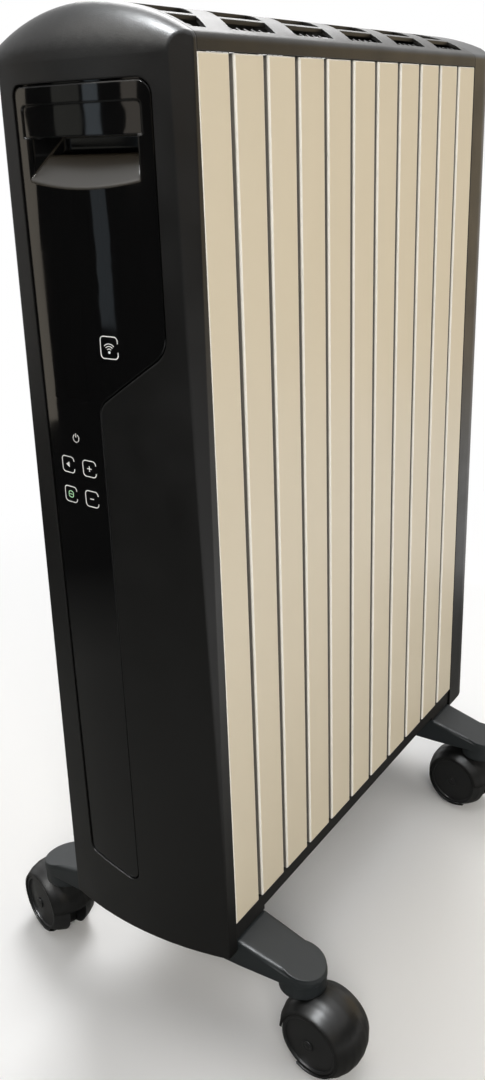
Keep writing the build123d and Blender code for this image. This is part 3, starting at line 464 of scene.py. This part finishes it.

# Control fascia and handle cup: polished black mouldings. The fascia is set in from behind and its
# grip bar crosses the cup's mouth; both carry faint wipe marks. Fingers have rubbed the scoop dull, and its
# paler brown tone is a painted reflection.
SCOOP_MIDDLE = (0, -0.2242, 0.5829)
SCOOP_NORMAL = (0, -0.783, 0.622)
RUBBED_DEPTH = 0.0008
# This paler brown is a painted reflection on the scoop.
SCOOP_PAINTED_REFLECTION = (0.023, 0.0185, 0.0125)
RUBBED_ROUGH = 0.36
GLOSS_TONE = (0.003, 0.003, 0.0031)
MOUTH_HALF = 0.0385


def polished():
    """Polished black that is rubbed dull within the mouth, close to the plane of the scoop, with a paler
    brown painted reflection there.
    """
    material, tree, shader = new_material("polished_black")
    place = object_place(tree)
    from_scoop = reckon(tree, "VectorMath", "SUBTRACT", place, SCOOP_MIDDLE)["Vector"]
    height = reckon(tree, "VectorMath", "DOT_PRODUCT", from_scoop, SCOOP_NORMAL)["Value"]
    off_plane = reckon(tree, "Math", "ABSOLUTE", height)[0]
    near = remap(tree, off_plane, RUBBED_DEPTH / 2, RUBBED_DEPTH, start=1.0, end=0.0)
    inside = reckon(tree, "Math", "LESS_THAN", distance_aside(tree, place), MOUTH_HALF)[0]
    dull = reckon(tree, "Math", "MULTIPLY", near, inside)[0]
    # The scoop's share lays both the rougher finish and the painted reflection.
    tone = blend_colors(tree, dull, GLOSS_TONE, SCOOP_PAINTED_REFLECTION)
    smear = noise(tree, place, scale=22.0, detail=7.0)
    gloss = remap(tree, smear, 0.45, 0.8, start=0.04, end=0.11)
    rough = add(tree, "ShaderNodeMix", {"B": RUBBED_ROUGH}, {"Factor": dull, "A": gloss}).outputs[0]
    wave = noise(tree, place, scale=14.0, detail=1.0)
    dress(tree, shader, tone, rough, wave, strength=0.06, depth=0.002, edge=0.0014)
    return material


finish_nodes(["control_fascia", "handle_pocket"], polished())

# Touch keys: outlines and signs in white ink on the fascia, lit from behind by the control board. The
# economy key's leaf is lit green. Each sign starts flat in front of the heater and is laid on the fascia.
INK = 0.00012
LINE = 0.00058
THIN_LINE = LINE * 0.7
INK_ROUGH = 0.3
INK_DIM = 0.8
KEY_SIZE = (0.0110, 0.0105)
KEY_CORNER = 0.0026
KEY_MOUTH = 0.0024
KEY_LEFT = -0.030
KEY_RIGHT = -0.012
KEY_LOW = 0.3965
KEY_HIGH = 0.4155
TRIANGLE = 0.0020
PLUS = 0.0017
MINUS = 0.0015
SIGNAL_KEY = (0.01075, 0.4895)
SIGNAL_SIZE = (0.0125, 0.0130)
FAN_DROP = 0.0026
FAN_DOT = 0.0008
FAN_RADII = (0.0022, 0.0036, 0.0050)
FAN_LINE = LINE * 0.8
STANDBY_KEY = (-0.0210, 0.4330)
STANDBY_RADIUS = 0.0026
STANDBY_LINE = LINE * 0.75
STANDBY_MOUTH = 0.0011
STANDBY_BAR_RISE = 0.0018
STANDBY_BAR = 0.0026
LEAF_SIZE = 0.0044
LEAF_CORNER = 0.0016
LEAF_LINE = LINE * 0.8
LEAF_VEIN = 0.0028
RING_CORNERS = 40
DOT_CORNERS = 16
START_GAP = 0.02
IN_FRONT = cad_box[0][1] - START_GAP
FACE_FRONT = (math.pi / 2, 0, 0)
CORNER_LEFT = (math.pi / 2, -math.pi / 2, 0)


def patch(x, z, wide, tall):
    """A flat rectangle in front of the fascia, as the start of a mark."""
    bpy.ops.object.select_all(action="DESELECT")
    bpy.ops.mesh.primitive_plane_add(size=1, location=(x, IN_FRONT, z), rotation=FACE_FRONT)
    mark = bpy.context.object
    mark.scale = (wide, tall, 1)
    return fix_place(mark)


def disc(x, z, radius, corners, turn):
    """A filled flat circle or polygon."""
    bpy.ops.object.select_all(action="DESELECT")
    bpy.ops.mesh.primitive_circle_add(
        vertices=corners, radius=radius, fill_type="NGON", location=(x, IN_FRONT, z), rotation=turn
    )
    return fix_place(bpy.context.object)


def every_face(face):
    """A test that all faces pass."""
    return True


def round_corners(mark, radius, segments):
    """Round the corners of a flat rectangle."""
    edit_faces(mark, every_face)
    bpy.ops.mesh.bevel(offset=radius, segments=segments, affect="VERTICES")
    bpy.ops.object.mode_set(mode="OBJECT")


def hollow_out(mark, line):
    """Keep only a line of a given width along the rim of a flat mark."""
    edit_faces(mark, every_face)
    bpy.ops.mesh.inset(thickness=line)
    bpy.ops.mesh.delete(type="FACE")
    bpy.ops.object.mode_set(mode="OBJECT")


def trim(mark, point, normal, clear):
    """Cut a flat mark along a line and, if asked, clear away what is on the normal's side."""
    edit_faces(mark, every_face)
    bpy.ops.mesh.bisect(plane_co=point, plane_no=normal, clear_outer=clear)
    bpy.ops.object.mode_set(mode="OBJECT")


def drop_faces(mark, test):
    """Delete the faces that pass a test."""
    edit_faces(mark, test)
    bpy.ops.mesh.delete(type="FACE")
    bpy.ops.object.mode_set(mode="OBJECT")


def key_outline(x, z, wide, tall):
    """Rounded outline of a key, open in the middle of its right side."""
    mark = patch(x, z, wide, tall)
    round_corners(mark, KEY_CORNER, segments=6)
    hollow_out(mark, LINE)
    for side in (-1, 1):
        trim(mark, (x, IN_FRONT, z + side * KEY_MOUTH), (0, 0, 1), False)
    drop_faces(mark, lambda face: face.center.x > x + wide / 4 and abs(face.center.z - z) < KEY_MOUTH)
    return mark


def round_line(x, z, radius, line):
    """A flat ring."""
    mark = disc(x, z, radius, RING_CORNERS, FACE_FRONT)
    hollow_out(mark, line)
    return mark


def bars(x, z, reach, upright):
    """A minus sign, or a plus sign where an upright bar crosses it."""
    marks = [patch(x, z, 2 * reach, LINE)]
    if upright:
        rest = reach - LINE / 2
        marks += [patch(x, z + side * (LINE + rest) / 2, LINE, rest) for side in (-1, 1)]
    return marks


def signal_fan(x, z):
    """Three arcs over a dot, open upwards."""
    marks = [disc(x, z, FAN_DOT, DOT_CORNERS, CORNER_LEFT)]
    for radius in FAN_RADII:
        arc = round_line(x, z, radius, FAN_LINE)
        for side in (-1, 1):
            trim(arc, (x, IN_FRONT, z), (side, 0, -1), True)
        marks.append(arc)
    return marks


def standby(x, z):
    """A ring that is open at its top, with a short bar in the opening."""
    ring = round_line(x, z, STANDBY_RADIUS, STANDBY_LINE)
    drop_faces(ring, lambda face: face.center.z > z and abs(face.center.x - x) < STANDBY_MOUTH)
    return [ring, patch(x, z + STANDBY_BAR_RISE, THIN_LINE, STANDBY_BAR)]


def leaf(x, z):
    """The rounded outline of a small leaf, with a vein across it."""
    mark = patch(x, z, LEAF_SIZE, LEAF_SIZE)
    round_corners(mark, LEAF_CORNER, segments=5)
    hollow_out(mark, LEAF_LINE)
    return [mark, patch(x, z, LEAF_VEIN, THIN_LINE)]


def seat_mark(mark, target, reverse):
    """Lay a flat mark on a surface and give it the thickness of ink."""
    bpy.ops.object.select_all(action="DESELECT")
    mark.select_set(True)
    bpy.context.view_layer.objects.active = mark
    wrap = mark.modifiers.new("lay", "SHRINKWRAP")
    wrap.wrap_method = "PROJECT"
    wrap.use_project_y = True
    wrap.use_positive_direction = not reverse
    wrap.use_negative_direction = reverse
    wrap.target = nodes[target]
    bpy.ops.object.modifier_apply(modifier="lay")
    ink = mark.modifiers.new("ink", "SOLIDIFY")
    ink.thickness = INK
    ink.offset = -1 if reverse else 1
    bpy.ops.object.modifier_apply(modifier="ink")
    return mark


def lit_ink(name, color, glow):
    """Printed ink with a light behind it and a slightly speckled tone."""
    material, tree, shader = new_material(name)
    speck = noise(tree, object_place(tree), scale=900.0, detail=3.0)
    dim = tuple(INK_DIM * part for part in color)
    tone = blend_colors(tree, speck, dim, color)
    tree.links.new(tone, shader.inputs["Base Color"])
    tree.links.new(tone, shader.inputs["Emission Color"])
    shader.inputs["Emission Strength"].default_value = glow
    shader.inputs["Roughness"].default_value = INK_ROUGH
    return material


white_marks = [key_outline(*SIGNAL_KEY, *SIGNAL_SIZE)]
white_marks += signal_fan(SIGNAL_KEY[0], SIGNAL_KEY[1] - FAN_DROP)
white_marks += standby(*STANDBY_KEY)
key_pattern = key_outline(0, 0, *KEY_SIZE)
white_marks += [copy_at(key_pattern, (x, 0, z)) for x in (KEY_LEFT, KEY_RIGHT) for z in (KEY_LOW, KEY_HIGH)]
bpy.data.objects.remove(key_pattern)
white_marks += [disc(KEY_LEFT, KEY_HIGH, TRIANGLE, 3, CORNER_LEFT)]
white_marks += bars(KEY_RIGHT, KEY_HIGH, PLUS, True)
white_marks += bars(KEY_RIGHT, KEY_LOW, MINUS, False)
key_marks = seat_mark(join(white_marks, "key_marks"), "control_fascia", False)
key_marks.data.materials.append(lit_ink("white_ink", (0.80, 0.80, 0.78), glow=0.15))
economy_mark = seat_mark(join(leaf(KEY_LEFT, KEY_LOW), "economy_mark"), "control_fascia", False)
economy_mark.data.materials.append(lit_ink("green_ink", (0.45, 0.80, 0.47), glow=0.2))
for mark in (key_marks, economy_mark):
    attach(mark, "body")

# Switch signs: a bar and a ring, printed in white on the two halves of the rocker. They start flat
# behind the heater and are laid on the rocker from there.
SIGN_BAR = 0.0040
SIGN_RING = 0.0021
SIGN_SHARE = 0.27
low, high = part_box("switch_rocker")
middle = [(start + end) / 2 for start, end in zip(low, high)]
sign_rise = (high[2] - low[2]) * SIGN_SHARE
sign_bar = patch(middle[0], middle[2] + sign_rise, LINE, SIGN_BAR)
sign_ring = round_line(middle[0], middle[2] - sign_rise, SIGN_RING, LINE)
switch_signs = join([sign_bar, sign_ring], "switch_signs")
switch_signs.location.y = high[1] + START_GAP - IN_FRONT
fix_place(switch_signs)
seat_mark(switch_signs, "switch_rocker", True)
switch_signs.data.materials.append(lit_ink("sign_ink", (0.75, 0.75, 0.74), glow=0.0))
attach(switch_signs, "rocker")

# Feet: charcoal moulded cross pieces under both ends, ribbed below. The caster stems swivel in the
# bosses at their tips.
charcoal = moulded(
    "charcoal",
    light=(0.015, 0.0185, 0.0205),
    dark=(0.011, 0.0138, 0.0154),
    gloss=(0.36, 0.5),
    depth=0.0003,
    edge=0.0015,
    grain=1200.0,
    specular=0.45,
)
finish_nodes(["front_foot", "rear_foot"], charcoal)

# Casters: a round satin hood over two wheels. Both are moulded, and the wheels run on an axle through
# the hood's web.
hood_black = moulded(
    "hood_black",
    light=(0.008, 0.0082, 0.008),
    dark=(0.006, 0.0061, 0.006),
    gloss=(0.3, 0.42),
    depth=0.0002,
    edge=0.004,
    specular=0.4,
)
finish_nodes([name for name in nodes if name.endswith("_hood")], hood_black)
wheel_grey = moulded(
    "wheel_grey",
    light=(0.013, 0.0134, 0.0138),
    dark=(0.0095, 0.0098, 0.0102),
    gloss=(0.28, 0.4),
    depth=0.0003,
    edge=0.0012,
    specular=0.5,
)
finish_nodes([name for name in nodes if "_wheel_" in name], wheel_grey)

# Wheel caps: a small turned nub with a ring round it in the middle of each wheel, over the end of its
# axle. The steps are each step's width and its rise, from the rim of the cap inwards.
CAP_RADIUS = 0.0042
CAP_HEIGHT = 0.0008
CAP_OUT = 0.0060
CAP_STEPS = (
    (CAP_RADIUS * 0.35, 0.0),
    (CAP_RADIUS * 0.15, -CAP_HEIGHT * 0.5),
    (CAP_RADIUS * 0.15, CAP_HEIGHT * 0.7),
)
CAP_EDGE = CAP_HEIGHT * 0.25
SMOOTH_ANGLE = math.radians(40)


def wheel_cap():
    """A low disc with a groove and a nub, facing up, as far from the origin as from a wheel's middle."""
    bpy.ops.object.select_all(action="DESELECT")
    bpy.ops.mesh.primitive_cylinder_add(
        vertices=40,
        radius=CAP_RADIUS,
        depth=CAP_HEIGHT,
        location=(0, 0, CAP_OUT + CAP_HEIGHT / 2),
    )
    cap = bpy.context.object
    edit_faces(cap, top_face)
    for width, rise in CAP_STEPS:
        bpy.ops.mesh.inset(thickness=width, depth=rise)
    done_editing(cap)
    round_off = cap.modifiers.new("edges", "BEVEL")
    round_off.width = CAP_EDGE
    round_off.segments = 3
    bpy.ops.object.modifier_apply(modifier="edges")
    bpy.ops.object.shade_smooth_by_angle(angle=SMOOTH_ANGLE)
    return cap


cap_pattern = wheel_cap()
for joint in frame["joints"]:
    if not joint["name"].endswith("_spin"):
        continue
    outward = Vector(joint["axis"]) * (1 if "_outer_" in joint["name"] else -1)
    cap = copy_at(cap_pattern, joint["pos_m"], outward.to_track_quat("Z", "Y").to_euler())
    cap.name = joint["child"] + "_cap"
    cap.data.name = cap.name
    cap.data.materials.append(wheel_grey)
    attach(cap, joint["child"])
bpy.data.objects.remove(cap_pattern)

# Floor: pale seamless paper. Close to the heater it takes the light and the shadow, and further out it
# runs into the white of the background.
PAPER_SIZE = 60
PAPER_TONE = (0.9, 0.9, 0.9, 1)
PAPER_ROUGH = 0.8
FADE_START = 0.4
FADE_END = 1.0


def background_rays(tree):
    """1 for rays that should meet the white background: seen, mirrored or passed through."""
    seen = add(tree, "ShaderNodeLightPath").outputs
    total = seen["Is Camera Ray"]
    for kind in ("Is Glossy Ray", "Is Transmission Ray"):
        total = reckon(tree, "Math", "MAXIMUM", total, seen[kind])[0]
    return total


def pale_paper():
    """Paper that turns into the white background with distance."""
    material, tree, shader = new_material("pale_paper")
    shader.inputs["Base Color"].default_value = PAPER_TONE
    shader.inputs["Roughness"].default_value = PAPER_ROUGH
    away = reckon(tree, "VectorMath", "LENGTH", object_place(tree))["Value"]
    share = add(tree, "ShaderNodeMapRange", {"From Min": FADE_START, "From Max": FADE_END}, {"Value": away})
    share.interpolation_type = "SMOOTHSTEP"
    fade = reckon(tree, "Math", "MULTIPLY", share.outputs[0], background_rays(tree))[0]
    white = add(tree, "ShaderNodeEmission", {"Color": (1, 1, 1, 1), "Strength": 1.0})
    mixed = add(tree, "ShaderNodeMixShader", None, {0: fade, 1: shader.outputs[0], 2: white.outputs[0]})
    tree.links.new(mixed.outputs[0], tree.nodes["Material Output"].inputs["Surface"])
    return material


bpy.ops.object.select_all(action="DESELECT")
bpy.ops.mesh.primitive_plane_add(size=PAPER_SIZE, location=(0, 0, 0))
floor = bpy.context.object
floor.name = "studio_floor"
floor.data.materials.append(pale_paper())

# Lights: a soft key at the right of the camera, a fill along the strips, and two top lights. The key stays
# out of reflections, so that the bevel beside the strips stays black.
KEY_TINT = (1.0, 0.97, 0.92)
FILL_TINT = (1.0, 0.93, 0.82)


def soft_light(name, place, aim, size, power, tint=(1, 1, 1)):
    """A soft box that points at a place on the object."""
    lamp = bpy.data.lights.new(name, "AREA")
    lamp.shape = "RECTANGLE"
    lamp.size, lamp.size_y = size
    lamp.energy = power
    lamp.color = tint
    box = bpy.data.objects.new(name, lamp)
    bpy.context.scene.collection.objects.link(box)
    box.location = place
    box.rotation_euler = (Vector(aim) - box.location).to_track_quat("-Z", "Y").to_euler()
    return box


key = soft_light("key", (1.25, -1.8, 1.5), aim=(0, -0.05, 0.47), size=(1.0, 1.0), power=29, tint=KEY_TINT)
key.visible_glossy = False
soft_light("fill", (2.0, 0.2, 1.0), aim=(0, 0, 0.35), size=(1.2, 1.2), power=5.5, tint=FILL_TINT)
soft_light("top", (0.2, 0.3, 2.3), aim=(0, 0, 0.5), size=(1.8, 1.8), power=14)
soft_light("head", (-0.6, 0.85, 1.75), aim=(0, -0.1, 0.65), size=(0.9, 0.9), power=22)

# Mirrored boxes: soft boxes that only reflections see, each with its place, size, power and tint. Two hang
# over the front and shine on the dome and the handle, one warms the bevel at the right, and the rest run
# down the polished fascia.
HEAD_FRONT = (0.02, -0.23, 0.62)
MIRRORED = (
    ("over_front", (-0.65, -1.56, 1.79), (1.2, 0.8), 10.0, (1.0, 0.96, 0.90)),
    ("over_head", (-0.05, -0.75, 2.0), (0.4, 0.4), 62.0, (0.95, 0.98, 1.0)),
    ("left_edge", (-1.557, -0.996, 0.5), (0.16, 1.0), 0.5, (1.0, 0.9, 0.75)),
    ("wall", (-1.218, -1.446, 0.77), (0.33, 0.38), 0.12, (1.0, 1.0, 0.9)),
    ("window_high", (-1.0, -1.633, 0.785), (0.167, 0.47), 0.22, (0.78, 0.9, 1.0)),
    ("window_low", (-1.0, -1.633, 0.35), (0.167, 0.30), 0.07, (0.78, 0.9, 1.0)),
    ("right_edge", (-0.64, -1.83, 0.74), (0.16, 0.45), 0.2, (1.0, 0.9, 0.78)),
    ("side_glow", (1.44, -1.22, 0.80), (0.35, 0.5), 0.6, (1.0, 0.82, 0.6)),
)
for name, place, size, power, tint in MIRRORED:
    box = soft_light(name, place, HEAD_FRONT, size, power, tint)
    for kind in ("diffuse", "transmission", "volume_scatter"):
        setattr(box, "visible_" + kind, False)

# Cards: a dark curved flag round the front and right, a warm wall at the back right and a dark sheet on
# the floor, all seen only in reflections. They keep the blacks deep and warm the sides.
RING_RADIUS = 1.9
RING_HEIGHT = 1.2
RING_MIDDLE = -0.2
FLAG_LEFT_END = -0.25
WALL_START = 1.3
RIGHT_START = 0.3
CARD_BLACK = (0.012, 0.012, 0.012)
CARD_ROUGH = 0.9
CARD_SPECULAR = 0.1
WALL_GLOW = (1.0, 0.78, 0.48, 1)
WALL_POWER = 0.9
SHEET_PLACE = (-0.85, -0.69, 0.002)
SHEET_SIZE = (2.3, 2.57, 1)
SHEET_GREY = (0.20, 0.20, 0.19)
SHEET_NEAR = 0.55
SHEET_FAR = 0.85


def reflected_only(card):
    """Hide a card from everything but mirrored rays."""
    for kind in ("camera", "diffuse", "transmission", "shadow", "volume_scatter"):
        setattr(card, "visible_" + kind, False)


def dark_card(name):
    """A dull black, ready for a glow or a second tone."""
    material, tree, shader = new_material(name)
    shader.inputs["Base Color"].default_value = (*CARD_BLACK, 1)
    shader.inputs["Roughness"].default_value = CARD_ROUGH
    shader.inputs["Specular IOR Level"].default_value = CARD_SPECULAR
    return material, tree, shader


def grey_felt():
    """Felt that is grey close to the heater's front and black further out."""
    material, tree, shader = dark_card("grey_felt")
    front = (0, cad_box[0][1], 0)
    away = reckon(tree, "VectorMath", "DISTANCE", object_place(tree), front)["Value"]
    share = remap(tree, away, SHEET_NEAR, SHEET_FAR, start=0.0, end=1.0)
    tree.links.new(blend_colors(tree, share, SHEET_GREY, CARD_BLACK), shader.inputs["Base Color"])
    return material


def ring_card(name, keep):
    """An upright card bent round the heater: the part of a ring that a test of its faces' places keeps."""
    bpy.ops.object.select_all(action="DESELECT")
    bpy.ops.mesh.primitive_cylinder_add(
        vertices=72,
        radius=RING_RADIUS,
        depth=RING_HEIGHT,
        end_fill_type="NOTHING",
        location=(0, RING_MIDDLE, RING_HEIGHT / 2),
    )
    card = bpy.context.object
    card.name = name
    drop_faces(card, lambda face: not keep(face.center))
    return card


def on_flag(place):
    """Whether the flag covers a place on the ring: all of the front, and most of the right side."""
    return place.y < (FLAG_LEFT_END if place.x < RIGHT_START else WALL_START)


def on_wall(place):
    """Whether the warm wall covers a place on the ring: the right side behind the flag's end."""
    return place.y > WALL_START and place.x > RIGHT_START


flag = ring_card("dark_flag", on_flag)
flag.data.materials.append(dark_card("black_card")[0])
reflected_only(flag)
wall = ring_card("warm_wall", on_wall)
beige, tree, shader = dark_card("beige_card")
shader.inputs["Emission Color"].default_value = WALL_GLOW
shader.inputs["Emission Strength"].default_value = WALL_POWER
wall.data.materials.append(beige)
reflected_only(wall)
bpy.ops.object.select_all(action="DESELECT")
bpy.ops.mesh.primitive_plane_add(size=1, location=SHEET_PLACE)
sheet = bpy.context.object
sheet.name = "dark_sheet"
sheet.scale = SHEET_SIZE
fix_place(sheet)
sheet.data.materials.append(grey_felt())
reflected_only(sheet)

# Surroundings: even, dim white light that fills the shadows, and a white background where it is seen or
# mirrored.
DIM_LIGHT = 0.22
FULL_LIGHT = 1.0
world = bpy.data.worlds.new("studio")
bpy.context.scene.world = world
world.use_nodes = True
tree = world.node_tree
sky = tree.nodes["Background"]
sky.inputs["Color"].default_value = (1, 1, 1, 1)
level = remap(tree, background_rays(tree), 0.0, 1.0, start=DIM_LIGHT, end=FULL_LIGHT)
tree.links.new(level, sky.inputs["Strength"])

# Camera: just below the height of the heater's top, in front and to its right, looking down along it.
# The lens, shift, place and turn were fitted to the strips, feet and fascia.
view = bpy.data.cameras.new("view")
view.lens = 34.83
view.sensor_width = 36.0
view.shift_x = 0.0045
view.shift_y = -0.0211
view.clip_start = 0.01
camera = bpy.data.objects.new("view", view)
bpy.context.scene.collection.objects.link(camera)
camera.location = (0.39261, -0.66877, 0.60184)
camera.rotation_euler = [math.radians(turn) for turn in (69.506, 2.063, 33.622)]
bpy.context.scene.camera = camera
bpy.context.scene.view_settings.view_transform = "Standard"
